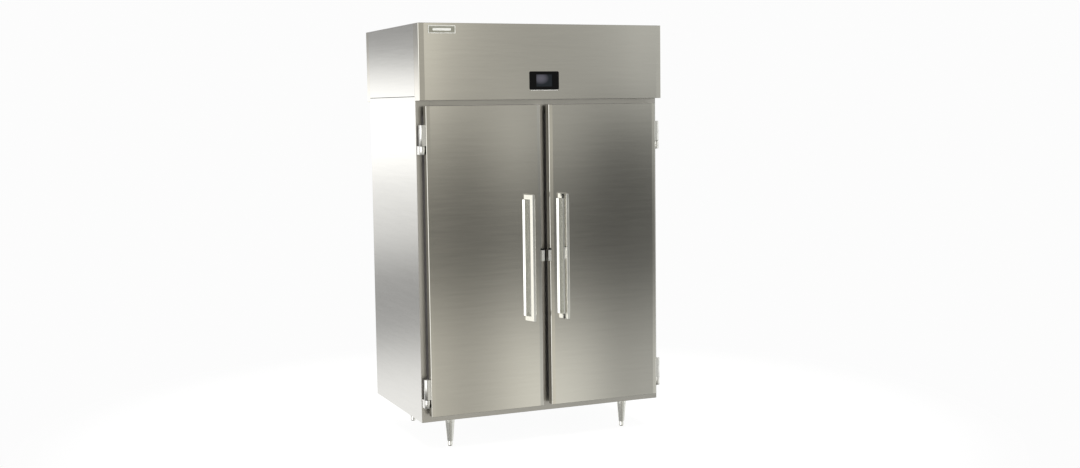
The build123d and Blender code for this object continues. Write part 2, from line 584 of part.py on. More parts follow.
def make_inlets():
    """Connections on the back panel, under the rear cover: a water spigot and a power inlet."""
    z = SEAM - INLET_DROP
    spigot = rod_y(-INLET_X, BACK, BACK + INLET_REACH, z, INLET_RADIUS)
    spigot += rod_y(-INLET_X, BACK, BACK + INLET_FLANGE, z, 2 * INLET_RADIUS)
    write("water_inlet", spigot - rod_y(-INLET_X, BACK, BACK + INLET_REACH, z, INLET_RADIUS - 3))
    box = block(INLET_X - 30, INLET_X + 30, BACK, BACK + INLET_REACH, z - 30, z + 30)
    socket = block(INLET_X - 14, INLET_X + 14, BACK + INLET_FLANGE, BACK + INLET_REACH, z - 10, z + 10)
    write("power_inlet", box - socket)


os.makedirs("parts", exist_ok=True)
make_outer_panels()
make_liners()
make_insulation()
make_face_frame()
make_breaker_strips()
make_fascia()
make_hood_shell()
make_display()
make_badge()
for door_name, door_side in SIDES:
    make_door(door_name, door_side)
make_hinges()
make_base()
make_shelves()
make_fan()
make_duct()
make_heater()
make_steam()
make_inlets()
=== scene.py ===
import bpy
import math
from mathutils import Matrix, Vector


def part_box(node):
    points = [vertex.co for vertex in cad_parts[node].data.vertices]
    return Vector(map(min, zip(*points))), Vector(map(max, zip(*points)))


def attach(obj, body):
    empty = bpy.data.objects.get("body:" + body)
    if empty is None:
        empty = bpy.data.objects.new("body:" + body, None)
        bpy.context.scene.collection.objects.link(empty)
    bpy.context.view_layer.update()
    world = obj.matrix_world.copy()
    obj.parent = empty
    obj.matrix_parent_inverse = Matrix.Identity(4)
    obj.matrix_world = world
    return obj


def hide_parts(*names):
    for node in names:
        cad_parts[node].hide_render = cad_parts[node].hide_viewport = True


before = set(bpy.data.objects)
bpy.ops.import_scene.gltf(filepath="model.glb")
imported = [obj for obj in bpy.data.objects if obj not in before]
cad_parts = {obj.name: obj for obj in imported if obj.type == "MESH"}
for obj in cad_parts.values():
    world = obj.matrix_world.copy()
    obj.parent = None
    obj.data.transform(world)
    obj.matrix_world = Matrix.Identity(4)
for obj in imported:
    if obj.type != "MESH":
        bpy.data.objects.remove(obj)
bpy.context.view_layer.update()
scene = bpy.context.scene
scene.view_settings.view_transform = "Standard"

# ---------------------------------------------------------------- the stance
# The cabinet stands on a pale studio floor and is seen from a standing eye, from the front left.
# The room behind it is white; the room in front of it is a dim hall with a lit floor.
EYE = Vector((-2.686, -6.631, 1.712))
TURN, TIP, LEAN = math.radians(23.12), math.radians(5.45), math.radians(-0.74)
PICTURE_WIDTH, FOCUS = 1080, 1346.5

camera_data = bpy.data.cameras.new("eye")
camera_data.lens = FOCUS / PICTURE_WIDTH * camera_data.sensor_width
camera = bpy.data.objects.new("eye", camera_data)
aim = Matrix.Rotation(-TURN, 4, "Z") @ Matrix.Rotation(math.pi / 2 - TIP, 4, "X")
camera.matrix_world = Matrix.Translation(EYE) @ aim @ Matrix.Rotation(LEAN, 4, "Z")
scene.collection.objects.link(camera)
scene.camera = camera


def add_node(tree, kind, inputs=None, **settings):
    """Adds one node; inputs maps a socket's name or number to a value or to another node's output."""
    node = tree.nodes.new(kind)
    for key, value in settings.items():
        setattr(node, key, value)
    for key, value in (inputs or {}).items():
        if isinstance(value, bpy.types.NodeSocket):
            tree.links.new(value, node.inputs[key])
        else:
            node.inputs[key].default_value = value
    return node


def linear(code):
    """An sRGB hex colour as linear RGBA."""
    parts = [int(code[i:i + 2], 16) / 255 for i in (1, 3, 5)]
    return [p / 12.92 if p <= 0.04045 else ((p + 0.055) / 1.055) ** 2.4 for p in parts] + [1.0]


def ramp(tree, value, low, high, stops):
    """A smooth curve through (value, grey) stops between low and high, as a socket of greys."""
    scaled = add_node(tree, "ShaderNodeMapRange", {0: value, 1: low, 2: high})
    node = add_node(tree, "ShaderNodeValToRGB", {0: scaled.outputs[0]})
    node.color_ramp.interpolation = "CARDINAL" if len(stops) > 4 else "LINEAR"
    elements = node.color_ramp.elements
    while len(elements) < len(stops):
        elements.new(0.5)
    for element, (place, grey) in zip(elements, stops):
        element.position = (place - low) / (high - low)
        element.color = (grey, grey, grey, 1)
    return node.outputs[0]


world = bpy.data.worlds.new("studio")
scene.world = world
world.use_nodes = True
sky = world.node_tree
sky.nodes.clear()
direction = add_node(sky, "ShaderNodeTexCoord").outputs["Generated"]
axes = add_node(sky, "ShaderNodeSeparateXYZ", {0: direction})
dx, dy, dz = axes.outputs
# three angles in degrees: up from level, round from straight ahead, and round from the left side
DEGREE = math.degrees(1)
toward = add_node(sky, "ShaderNodeMath", {0: dy, 1: -1.0}, operation="MULTIPLY")
leftward = add_node(sky, "ShaderNodeMath", {0: dx, 1: -1.0}, operation="MULTIPLY")
rise = add_node(sky, "ShaderNodeMath", {0: dz, 1: 0.0}, operation="ARCSINE")
round_front = add_node(sky, "ShaderNodeMath", {0: dx, 1: toward.outputs[0]}, operation="ARCTAN2")
round_left = add_node(sky, "ShaderNodeMath", {0: leftward.outputs[0], 1: dy}, operation="ARCTAN2")
height, ahead, aside = [
    add_node(sky, "ShaderNodeMath", {0: angle.outputs[0], 1: DEGREE}, operation="MULTIPLY").outputs[0]
    for angle in (rise, round_front, round_left)]
# the hall in front: how bright it is at each height, then round the compass at four heights
hall_height = ramp(sky, height, -40, 60, [
    (-40, 0.2), (-24, 0.3), (-15, 0.62), (-12.1, 0.65), (-11.3, 0.65), (-10.3, 0.60), (-9, 0.45),
    (-7.8, 0.30), (-6.5, 0.19), (-5.3, 0.165), (-4, 0.21), (-2.9, 0.27), (-1.9, 0.38), (-0.3, 0.52),
    (0.3, 0.53), (2, 0.54), (3.1, 0.56), (10, 0.60), (18, 0.42), (26, 0.18), (60, 0.2)])
# each row: its height, then the brightness at even steps round from the first, over that of a plain wall
ROW_START, ROW_STEP = 18.4, 0.64
HALL_ROWS = [
    (-12.1, (1.17, 1.08, 0.92, 0.96, 1.09, 1.29, 1.49, 1.59, 1.59, 1.55, 1.44, 1.24, 1.02, 0.90, 0.95)),
    (-5.3, (1.34, 1.21, 1.02, 1.00, 1.06, 1.20, 1.27, 1.16, 1.00, 0.92, 0.81, 0.69, 0.65, 0.67, 0.77)),
    (-1.9, (1.28, 1.14, 0.94, 0.99, 1.21, 1.45, 1.59, 1.37, 1.25, 1.18, 0.97, 0.70, 0.50, 0.43, 0.49)),
    (1.0, (1.71, 1.44, 1.28, 1.15, 1.06, 1.02, 0.98, 0.96, 0.96, 0.96, 0.98, 1.03, 1.08, 1.16, 1.27))]
# and, for the same rows, the brightness at 6 and 14 degrees
SIDE_LEVELS = [(0.72, 0.75), (0.85, 0.8), (1.0, 0.75), (0.42, 0.5)]
hall_round = None
for row, (row_height, levels) in enumerate(HALL_ROWS):
    stops = [(-30, 0.34), (-10, 0.34), (0, 0.55), (6, SIDE_LEVELS[row][0]), (14, SIDE_LEVELS[row][1])]
    stops += [(ROW_START + ROW_STEP * i, level / 2) for i, level in enumerate(levels)]
    stops += [(32, 0.55), (40, 0.6), (90, 0.8)]
    compass = ramp(sky, ahead, -30, 90, stops)
    if hall_round is None:
        hall_round = compass
        continue
    before = HALL_ROWS[row - 1][0]
    share = ramp(sky, height, before, row_height, [(before, 0.0), (row_height, 1.0)])
    hall_round = add_node(sky, "ShaderNodeMixRGB", {0: share, 1: hall_round, 2: compass}).outputs[0]
hall = add_node(sky, "ShaderNodeMixRGB", {0: 1.0, 1: hall_height, 2: hall_round}, blend_type="MULTIPLY")
cooler = ramp(sky, ahead, 18, 28, [(18, 0.0), (28, 1.0)])
tint = add_node(sky, "ShaderNodeMixRGB", {0: cooler, 1: (2.04, 1.98, 1.79, 1), 2: (1.97, 1.98, 1.90, 1)})
hall_tint = add_node(sky, "ShaderNodeMixRGB", {0: 1.0, 1: hall.outputs[0], 2: tint.outputs[0]},
                     blend_type="MULTIPLY")
# a tall softbox stands at the front left, from the floor's edge to above head height
box_width = ramp(sky, ahead, -130, -20, [(-130, 0.0), (-112, 1.0), (-38, 1.0), (-24, 0.0)])
box_height = ramp(sky, height, -18, 30, [(-18, 0.0), (-14.5, 0.0), (-12, 1.0), (20, 1.0), (30, 0.0)])
left_box = add_node(sky, "ShaderNodeMath", {0: box_width, 1: box_height}, operation="MULTIPLY")
# and a lower, dimmer one at the front right
second_width = ramp(sky, ahead, 40, 140, [(40, 0.0), (50, 0.0), (62, 0.42), (96, 0.42), (140, 0.6)])
second_height = ramp(sky, height, -45, 35, [(-45, 0.0), (-30, 1.0), (22, 1.0), (35, 0.0)])
right_box = add_node(sky, "ShaderNodeMath", {0: second_width, 1: second_height}, operation="MULTIPLY")
in_box = add_node(sky, "ShaderNodeMath", {0: left_box.outputs[0], 1: right_box.outputs[0]},
                  operation="MAXIMUM")
lit_hall = add_node(sky, "ShaderNodeMixRGB",
                    {0: in_box.outputs[0], 1: hall_tint.outputs[0], 2: (1.9, 1.9, 1.87, 1)})
# the wall that the left side faces: bright, with a dim band low down and a dim ceiling line
wall = ramp(sky, height, -20, 20, [
    (-20, 0.75), (-12.1, 0.70), (-11.3, 0.63), (-10.4, 0.50), (-9.5, 0.34), (-8.3, 0.28), (-7, 0.31),
    (-5.7, 0.50), (-4.4, 0.62), (-3.2, 0.73), (-1.9, 0.96), (0.3, 1.0), (1.1, 0.78), (1.9, 0.48),
    (2.8, 0.27), (8, 0.30), (20, 0.5)])
wall_tint = add_node(sky, "ShaderNodeMixRGB", {0: 1.0, 1: wall, 2: (1.70, 1.68, 1.65, 1)},
                     blend_type="MULTIPLY")
# the room behind, as the steel sees it
back_room = ramp(sky, height, -40, 60, [
    (-40, 0.28), (-20, 0.60), (-12, 0.80), (-6, 0.50), (0, 0.55), (8, 0.78), (18, 0.55), (30, 0.30), (60, 0.30)])
back_tint = add_node(sky, "ShaderNodeMixRGB", {0: 1.0, 1: back_room, 2: (1.16, 1.14, 1.08, 1)},
                     blend_type="MULTIPLY")
is_wall = ramp(sky, aside, 0, 60, [(0, 0.0), (8, 1.0), (26, 1.0), (40, 0.0)])
past_wall = ramp(sky, aside, 20, 34, [(20, 0.0), (34, 1.0)])
near_floor = ramp(sky, height, -18, -12, [(-18, 1.0), (-12, 0.0)])
low_left = add_node(sky, "ShaderNodeMath", {0: past_wall, 1: near_floor}, operation="MULTIPLY")
backdrop = add_node(sky, "ShaderNodeMixRGB",
                    {0: low_left.outputs[0], 1: back_tint.outputs[0], 2: (0.22, 0.22, 0.22, 1)})
behind = add_node(sky, "ShaderNodeMixRGB", {0: is_wall, 1: backdrop.outputs[0], 2: wall_tint.outputs[0]})
in_front = ramp(sky, dy, -0.2, 0.05, [(-0.2, 1.0), (0.05, 0.0)])
room = add_node(sky, "ShaderNodeMixRGB", {0: in_front, 1: behind.outputs[0], 2: lit_hall.outputs[0]})
seen_directly = add_node(sky, "ShaderNodeLightPath").outputs["Is Camera Ray"]
plain_white = (0.975, 0.975, 0.975, 1)
sky_colour = add_node(sky, "ShaderNodeMixRGB", {0: seen_directly, 1: room.outputs[0], 2: plain_white})
sky_out = add_node(sky, "ShaderNodeBackground", {"Color": sky_colour.outputs[0], "Strength": 1.0})
add_node(sky, "ShaderNodeOutputWorld", {"Surface": sky_out.outputs[0]})

# A round of pale vinyl floor, matt, that takes a soft contact shadow under the cabinet.
FLOOR_RADIUS, FLOOR_SIDES, FLOOR_DROP = 2.6, 96, 0.0005


def new_material(name):
    material = bpy.data.materials.new(name)
    material.use_nodes = True
    tree = material.node_tree
    return material, tree, tree.nodes["Principled BSDF"]


def new_mesh(name, points, faces, material, smooth=False):
    mesh = bpy.data.meshes.new(name)
    mesh.from_pydata(points, [], faces)
    mesh.update()
    if smooth:
        mesh.shade_smooth()
    piece = bpy.data.objects.new(name, mesh)
    mesh.materials.append(material)
    scene.collection.objects.link(piece)
    return piece


floor_vinyl, tree, shader = new_material("pale_floor_vinyl")
speckle = add_node(tree, "ShaderNodeTexNoise", {"Scale": 400.0, "Detail": 2.0})
shade = add_node(tree, "ShaderNodeMixRGB",
                 {0: speckle.outputs[0], 1: linear("#7C7C7B"), 2: linear("#848483")})
floor_place = add_node(tree, "ShaderNodeTexCoord").outputs["Object"]
from_centre = add_node(tree, "ShaderNodeVectorMath", {0: floor_place}, operation="LENGTH").outputs["Value"]
to_rim = ramp(tree, from_centre, 1.0, FLOOR_RADIUS, [(1.0, 0.0), (FLOOR_RADIUS - 0.1, 1.0)])
floor_tone = add_node(tree, "ShaderNodeMixRGB", {0: to_rim, 1: shade.outputs[0], 2: (0.01, 0.01, 0.01, 1)})
tree.links.new(floor_tone.outputs[0], shader.inputs["Base Color"])
floor_glow = add_node(tree, "ShaderNodeMixRGB",
                      {0: to_rim, 1: (0.93, 0.93, 0.93, 1), 2: (0.97, 0.97, 0.97, 1)})
tree.links.new(floor_glow.outputs[0], shader.inputs["Emission Color"])
shader.inputs["Roughness"].default_value = 0.9
shader.inputs["Specular IOR Level"].default_value = 0.0
shader.inputs["Emission Strength"].default_value = 1.0
rim_angles = [2 * math.pi * i / FLOOR_SIDES for i in range(FLOOR_SIDES)]
rim = [(FLOOR_RADIUS * math.cos(angle), FLOOR_RADIUS * math.sin(angle), -FLOOR_DROP) for angle in rim_angles]
floor = new_mesh("floor", rim, [list(range(FLOOR_SIDES))], floor_vinyl)
floor.visible_glossy = False

lamp_data = bpy.data.lights.new("overhead_softbox", "AREA")
lamp_data.shape = "RECTANGLE"
lamp_data.size, lamp_data.size_y, lamp_data.energy = 5.0, 5.0, 240.0
lamp = bpy.data.objects.new("overhead_softbox", lamp_data)
lamp.location = (-0.5, -1.0, 5.0)
lamp.visible_glossy = False
scene.collection.objects.link(lamp)

# ---------------------------------------------------------------- stainless sheet
# Every outside panel is 1.2 to 1.5 mm 304 stainless sheet with a No. 4 finish: a fine belt-brushed
# grain that runs level, which smears what it mirrors up and down. Edges are folded, about 1 mm round.
EDGE_ROUND = 0.0012


def brushed(name, colour, roughness, anisotropy, grain_axis, streak=0.05, metallic=1.0):
    """Brushed steel whose grain runs along a row axis: 0 is X, 1 is Y."""
    material, tree, shader = new_material(name)
    where = add_node(tree, "ShaderNodeTexCoord").outputs["Object"]
    # grain lines are about 0.4 mm apart on the real sheet, drawn 4 mm apart so that they show
    fine_scale = [250.0, 250.0, 250.0]
    broad_scale = [50.0, 50.0, 50.0]
    for scales, along in ((fine_scale, 9.0), (broad_scale, 2.5)):
        scales[grain_axis] = along
    fine = add_node(tree, "ShaderNodeMapping", {0: where, 3: fine_scale})
    broad = add_node(tree, "ShaderNodeMapping", {0: where, 3: broad_scale})
    lines = add_node(tree, "ShaderNodeTexNoise", {"Vector": fine.outputs[0], "Scale": 1.0, "Detail": 3.0})
    bands = add_node(tree, "ShaderNodeTexNoise", {"Vector": broad.outputs[0], "Scale": 1.0, "Detail": 4.0})
    mixed = add_node(tree, "ShaderNodeMix", {0: 0.5, 2: lines.outputs[0], 3: bands.outputs[0]})
    tone = linear(colour)
    dark = [c * (1 - streak * 1.6) for c in tone[:3]] + [1]
    light = [min(1, c * (1 + streak)) for c in tone[:3]] + [1]
    contrast = add_node(tree, "ShaderNodeMapRange", {0: mixed.outputs[0], 1: 0.35, 2: 0.65})
    colour_mix = add_node(tree, "ShaderNodeMixRGB", {0: contrast.outputs[0], 1: dark, 2: light})
    tree.links.new(colour_mix.outputs[0], shader.inputs["Base Color"])
    spread = add_node(tree, "ShaderNodeMapRange",
                      {0: mixed.outputs[0], 1: 0.3, 2: 0.7, 3: roughness * 0.93, 4: roughness * 1.08})
    tree.links.new(spread.outputs[0], shader.inputs["Roughness"])
    shader.inputs["Metallic"].default_value = metallic
    shader.inputs["Anisotropic"].default_value = anisotropy
    shader.inputs["Anisotropic Rotation"].default_value = 0.25
    tangent = add_node(tree, "ShaderNodeTangent", direction_type="RADIAL", axis="Z")
    tree.links.new(tangent.outputs[0], shader.inputs["Tangent"])
    bump = add_node(tree, "ShaderNodeBump",
                    {"Height": lines.outputs[0], "Strength": 0.01, "Distance": 0.0002})
    tree.links.new(bump.outputs[0], shader.inputs["Normal"])
    return material


def finish_nodes(material, names, edge=EDGE_ROUND):
    """Gives CAD nodes their finish and rounds their sharp edges."""
    for name in names:
        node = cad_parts[name]
        node.data.materials.clear()
        node.data.materials.append(material)
        if edge:
            weld = node.modifiers.new("weld", "WELD")
            weld.merge_threshold = 0.00001
            bevel = node.modifiers.new("edge", "BEVEL")
            bevel.width, bevel.segments, bevel.limit_method = edge, 2, "ANGLE"
            bevel.angle_limit = math.radians(35)
            bevel.harden_normals = True


def mottled(name, scale, detail, first, second, roughness, metallic=0.0):
    """A finish whose colour wanders between two tones; scale is how many patches go to a metre."""
    material, tree, shader = new_material(name)
    patches = add_node(tree, "ShaderNodeTexNoise", {"Scale": scale, "Detail": detail})
    tone = add_node(tree, "ShaderNodeMixRGB", {0: patches.outputs[0], 1: linear(first), 2: linear(second)})
    tree.links.new(tone.outputs[0], shader.inputs["Base Color"])
    shader.inputs["Roughness"].default_value = roughness
    shader.inputs["Metallic"].default_value = metallic
    return material, tree, shader, patches


stainless_front = brushed("stainless_sheet_brushed_across", "#CCCAC3", 0.085, 0.8, 0, streak=0.02)
stainless_side = brushed("stainless_sheet_brushed_deep", "#CDCDCA", 0.095, 0.8, 1, streak=0.02)
stainless_frame = brushed("stainless_frame_fine_satin", "#D2D0CB", 0.30, 0.5, 0, streak=0.015)
finish_nodes(stainless_frame, ["left_frame_stile", "right_frame_stile", "frame_top_rail", "frame_bottom_rail",
                               "centre_mullion"])
finish_nodes(stainless_front, ["back_panel"])
finish_nodes(stainless_side, ["left_side_panel", "right_side_panel"], edge=None)

# ---------------------------------------------------------------- hood
# The hood is a separate box of brushed sheet on top of the body. The fascia in front and the cover at
# the back wrap round the corners with a shallow bevel, and hang lower than the two side panels.
finish_nodes(stainless_front, ["hood_fascia", "hood_rear_cover"], edge=0.0025)
finish_nodes(stainless_side, ["hood_left_panel", "hood_right_panel"], edge=None)
finish_nodes(stainless_front, ["hood_top_cover"])

# ---------------------------------------------------------------- doors
# Each door is a folded pan of the same brushed sheet over foam, with a stainless liner inside. Its long
# front edges are bevelled, so they catch a lighter strip of the room.
finish_nodes(stainless_front, ["left_door_skin", "right_door_skin"])
liner_satin = brushed("liner_sheet_fine_satin", "#CDCDCB", 0.32, 0.3, 0, streak=0.03, metallic=0.7)
finish_nodes(liner_satin, ["left_door_liner", "right_door_liner"], edge=None)

# ---------------------------------------------------------------- galvanised backs
# The bottom and top outer panels and the leg plates aren't seen from the front: plain galvanised sheet,
# dull grey with a faint spangle.
galvanised, tree, shader = new_material("galvanised_sheet_dull")
crystals = add_node(tree, "ShaderNodeTexVoronoi", {"Scale": 90.0})
spangle = add_node(tree, "ShaderNodeMixRGB", {0: crystals.outputs["Distance"], 1: linear("#8E9296"),
                                             2: linear("#A9ADB0")})
tree.links.new(spangle.outputs[0], shader.inputs["Base Color"])
shader.inputs["Metallic"].default_value = 1.0
shader.inputs["Roughness"].default_value = 0.45
finish_nodes(galvanised, ["bottom_panel", "top_panel", "leg_plates"], edge=None)

# ---------------------------------------------------------------- gaskets
# A grey vinyl bulb with two folds runs round the back of each door, mitred at the corners, and
# faces the frame across a small gap. Moulded vinyl: half matt, with a fine grain and patches of dust.
gasket_vinyl, tree, shader = mottled("gasket_vinyl_dark_grey", 14.0, 5.0, "#77747D", "#8B8891", 0.55)[:3]
grain = add_node(tree, "ShaderNodeTexNoise", {"Scale": 700.0, "Detail": 2.0})
vinyl_bump = add_node(tree, "ShaderNodeBump",
                      {"Height": grain.outputs[0], "Strength": 0.15, "Distance": 0.0004})
tree.links.new(vinyl_bump.outputs[0], shader.inputs["Normal"])
# (in from the outer edge, out from the door) as shares of the bulb's width and depth
GASKET_SECTION = [
    (0.10, 0.0), (0.0, 0.10), (0.0, 0.28), (0.16, 0.36), (0.16, 0.42), (0.0, 0.50), (0.0, 0.70),
    (0.14, 0.78), (0.14, 0.84), (0.0, 0.90), (0.06, 1.0), (0.94, 1.0), (1.0, 0.90), (0.86, 0.84),
    (0.86, 0.78), (1.0, 0.70), (1.0, 0.50), (0.84, 0.42), (0.84, 0.36), (1.0, 0.28), (1.0, 0.10),
    (0.90, 0.0)]
GASKET_WIDTH = 0.020
for side in ("left", "right"):
    low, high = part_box(f"{side}_door_gasket")
    depth = high.y - low.y
    points = []
    for share_in, share_out in GASKET_SECTION:
        inset, y = share_in * GASKET_WIDTH, low.y + share_out * depth
        points += [(low.x + inset, y, low.z + inset), (high.x - inset, y, low.z + inset),
                   (high.x - inset, y, high.z - inset), (low.x + inset, y, high.z - inset)]
    count = len(GASKET_SECTION)
    faces = []
    for i in range(count):
        j = (i + 1) % count
        for corner in range(4):
            after = (corner + 1) % 4
            faces.append((4 * i + corner, 4 * i + after, 4 * j + after, 4 * j + corner))
    gasket = new_mesh(f"{side}_gasket_bulb", points, faces, gasket_vinyl)
    round_off = gasket.modifiers.new("round", "BEVEL")
    round_off.width, round_off.segments = 0.0006, 2
    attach(gasket, f"{side}_door")
    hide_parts(f"{side}_door_gasket")

# ---------------------------------------------------------------- handles
# The pull is a polished casting: a back plate, two tapered ends and a grip with bevelled long edges.
# It is bright enough to mirror the room in hard strips, with a faint haze where hands wipe it.
polished, tree, shader, wipe = mottled(
    "polished_stainless_casting", 6.0, 6.0, "#F0F0EC", "#F7F7F4", 0.16, 1.0)
haze = add_node(tree, "ShaderNodeMapRange", {0: wipe.outputs[0], 1: 0.3, 2: 0.7, 3: 0.13, 4: 0.19})
tree.links.new(haze.outputs[0], shader.inputs["Roughness"])
finish_nodes(polished, ["left_door_handle", "right_door_handle"], edge=0.0015)

# ---------------------------------------------------------------- hinges
# Each hinge is two satin chrome knuckles on one pin: the long upper one is on the door's edge, the
# short lower one stands off the face frame. The castings are rubbed, so their gloss varies a little.
satin, tree, shader, rub = mottled("satin_chrome_casting", 35.0, 5.0, "#EFEFEC", "#F6F6F4", 0.28, 1.0)
rubbed_gloss = add_node(tree, "ShaderNodeMapRange", {0: rub.outputs[0], 1: 0.3, 2: 0.7, 3: 0.24, 4: 0.33})
tree.links.new(rubbed_gloss.outputs[0], shader.inputs["Roughness"])
finish_nodes(satin, ["left_hinge_arms", "right_hinge_arms", "hinge_brackets"], edge=0.0012)
# turned steel: fine level rings left by the tool, a third of a millimetre apart
pin_steel, tree, shader = new_material("turned_steel_pin")
turning = add_node(tree, "ShaderNodeTexWave", {"Scale": 900.0}, bands_direction="Z")
turned_tone = add_node(tree, "ShaderNodeMixRGB",
                       {0: turning.outputs[0], 1: linear("#9A9A98"), 2: linear("#B4B4B1")})
tree.links.new(turned_tone.outputs[0], shader.inputs["Base Color"])
shader.inputs["Metallic"].default_value = 1.0
shader.inputs["Roughness"].default_value = 0.3
finish_nodes(pin_steel, ["hinge_pins", "fan_wheel"], edge=None)

# ---------------------------------------------------------------- lock cases
# A small satin case wraps each door's free edge at hand height and hides the lock's bolt and keeper.
finish_nodes(satin, ["left_lock_case", "right_lock_case"], edge=0.0012)
# A strip of matt black, almost without shine, on the top of each case is a painted shadow: dark colour standing
# in for the shade in the slot above the case.
painted_shadow_black, tree, shader = mottled("black_painted_shadow_strip", 600.0, 2.0, "#0B0B0C", "#141415", 0.7)[:3]
shader.inputs["Specular IOR Level"].default_value = 0.2
SHADOW_STRIP_HEIGHT, SHADOW_STRIP_PROUD, SHADOW_STRIP_ROUND, SHADOW_STRIP_GAP = 0.008, 0.002, 0.0008, 0.0001
for side in ("left", "right"):
    low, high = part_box(f"{side}_lock_case")
    front, rear = low.y - SHADOW_STRIP_PROUD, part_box(f"{side}_door_skin")[0].y - SHADOW_STRIP_GAP
    ring = []
    for rise, inset in ((0.0, 0.0), (SHADOW_STRIP_HEIGHT * 0.6, 0.0), (SHADOW_STRIP_HEIGHT, SHADOW_STRIP_ROUND)):
        z = high.z + rise
        ring += [(low.x + inset, front + inset, z), (high.x - inset, front + inset, z),
                 (high.x - inset, rear, z), (low.x + inset, rear, z)]
    sides = [(4 * k + i, 4 * k + (i + 1) % 4, 4 * k + 4 + (i + 1) % 4, 4 * k + 4 + i)
             for k in range(2) for i in range(4)]
    shadow_strip = new_mesh(f"{side}_lock_painted_shadow", ring, sides + [(3, 2, 1, 0), (8, 9, 10, 11)], painted_shadow_black)
    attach(shadow_strip, f"{side}_door")

# ---------------------------------------------------------------- display
# A gloss black ABS bezel clips into the fascia round a dark glass window, which glows a soft blue
# grey. Fingers leave the bezel glossier in some patches than in others.
bezel_plastic, tree, shader, smudge = mottled(
    "gloss_black_bezel_plastic", 25.0, 5.0, "#08090A", "#0D0E0F", 0.2)
shader.inputs["Specular IOR Level"].default_value = 0.12
smudge_gloss = add_node(tree, "ShaderNodeMapRange", {0: smudge.outputs[0], 1: 0.3, 2: 0.7, 3: 0.10, 4: 0.28})
tree.links.new(smudge_gloss.outputs[0], shader.inputs["Roughness"])
finish_nodes(bezel_plastic, ["display_bezel"], edge=0.001)
# smoked glass, lit from behind and brightest at its upper left
window_glass, tree, shader = new_material("dark_window_glass_lit")
glow_place = add_node(tree, "ShaderNodeTexCoord").outputs["Generated"]
from_middle = add_node(tree, "ShaderNodeVectorMath", {0: glow_place, 1: (0.30, 0.5, 0.68)},
                       operation="DISTANCE")
shader.inputs["Specular IOR Level"].default_value = 0.12
glow = add_node(tree, "ShaderNodeValToRGB", {0: from_middle.outputs["Value"]})
for stop, (place, code) in zip(glow.color_ramp.elements, ((0.08, "#77747F"), (0.72, "#14171A"))):
    stop.position = place
    stop.color = linear(code)
tree.links.new(glow.outputs[0], shader.inputs["Emission Color"])
shader.inputs["Emission Strength"].default_value = 1.5
shader.inputs["Base Color"].default_value = linear("#101316")
shader.inputs["Roughness"].default_value = 0.08
finish_nodes(window_glass, ["display_screen"], edge=None)

# A slim rounded white strip under the bezel, an even colour with a soft gloss, is a painted highlight: it stands
# in for the light caught along the bezel's bottom edge.
painted_highlight_white = mottled("white_painted_highlight_strip", 80.0, 2.0, "#F2F2EE", "#FAFAF6", 0.3)[0]
highlight_low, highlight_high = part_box("display_bezel")
HIGHLIGHT_END_INSET, HIGHLIGHT_SET_BACK, HIGHLIGHT_DEPTH = 0.006, 0.0003, 0.0021
# the strip's section as (back from its front, down from the bezel)
HIGHLIGHT_SECTION = [(HIGHLIGHT_DEPTH, 0.0), (0.0008, 0.0003), (0.0, 0.0013), (0.0004, 0.0028), (HIGHLIGHT_DEPTH, 0.004)]
front = highlight_low.y + HIGHLIGHT_SET_BACK
highlight_points = [(x, front + back, highlight_low.z - down)
               for x in (highlight_low.x + HIGHLIGHT_END_INSET, highlight_high.x - HIGHLIGHT_END_INSET)
               for back, down in HIGHLIGHT_SECTION]
highlight_faces = [(i, (i + 1) % 5, 5 + (i + 1) % 5, 5 + i) for i in range(5)]
highlight_faces += [(4, 3, 2, 1, 0), (5, 6, 7, 8, 9)]
highlight_strip = new_mesh("display_painted_highlight", highlight_points, highlight_faces, painted_highlight_white)
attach(highlight_strip, "cabinet")

# ---------------------------------------------------------------- badge
# A plate on the fascia's upper left corner: its raised rim and its plain raised bar are stove
# enamelled white, and the recess between them is bare satin aluminium.
badge_metal, tree, shader = new_material("satin_aluminium_badge_white_enamel")
blast = add_node(tree, "ShaderNodeTexNoise", {"Scale": 900.0, "Detail": 2.0})
badge_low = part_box("badge_plate")[0]
badge_place = add_node(tree, "ShaderNodeTexCoord").outputs["Object"]
badge_where = add_node(tree, "ShaderNodeSeparateXYZ", {0: badge_place})
RECESS_DEPTH = 0.0008
in_recess = add_node(tree, "ShaderNodeMath", {0: badge_where.outputs[1], 1: badge_low.y + RECESS_DEPTH},
                     operation="GREATER_THAN").outputs[0]
recess_tone = add_node(tree, "ShaderNodeMixRGB",
                       {0: blast.outputs[0], 1: linear("#C2C2B6"), 2: linear("#D0D0C6")})
badge_tone = add_node(tree, "ShaderNodeMixRGB",
                      {0: in_recess, 1: linear("#F7F7F2"), 2: recess_tone.outputs[0]})
tree.links.new(badge_tone.outputs[0], shader.inputs["Base Color"])
tree.links.new(in_recess, shader.inputs["Metallic"])
badge_bump = add_node(tree, "ShaderNodeBump",
                      {"Height": blast.outputs[0], "Strength": 0.1, "Distance": 0.0002})
tree.links.new(badge_bump.outputs[0], shader.inputs["Normal"])
shader.inputs["Roughness"].default_value = 0.4
finish_nodes(badge_metal, ["badge_plate"], edge=0.0004)

# ---------------------------------------------------------------- legs and feet
# Each leg is a cast bullet leg: a collar under its plate, a straight shoulder and a long taper. A
# round polished foot on a stud screws into it.
LATHE_SIDES = 48


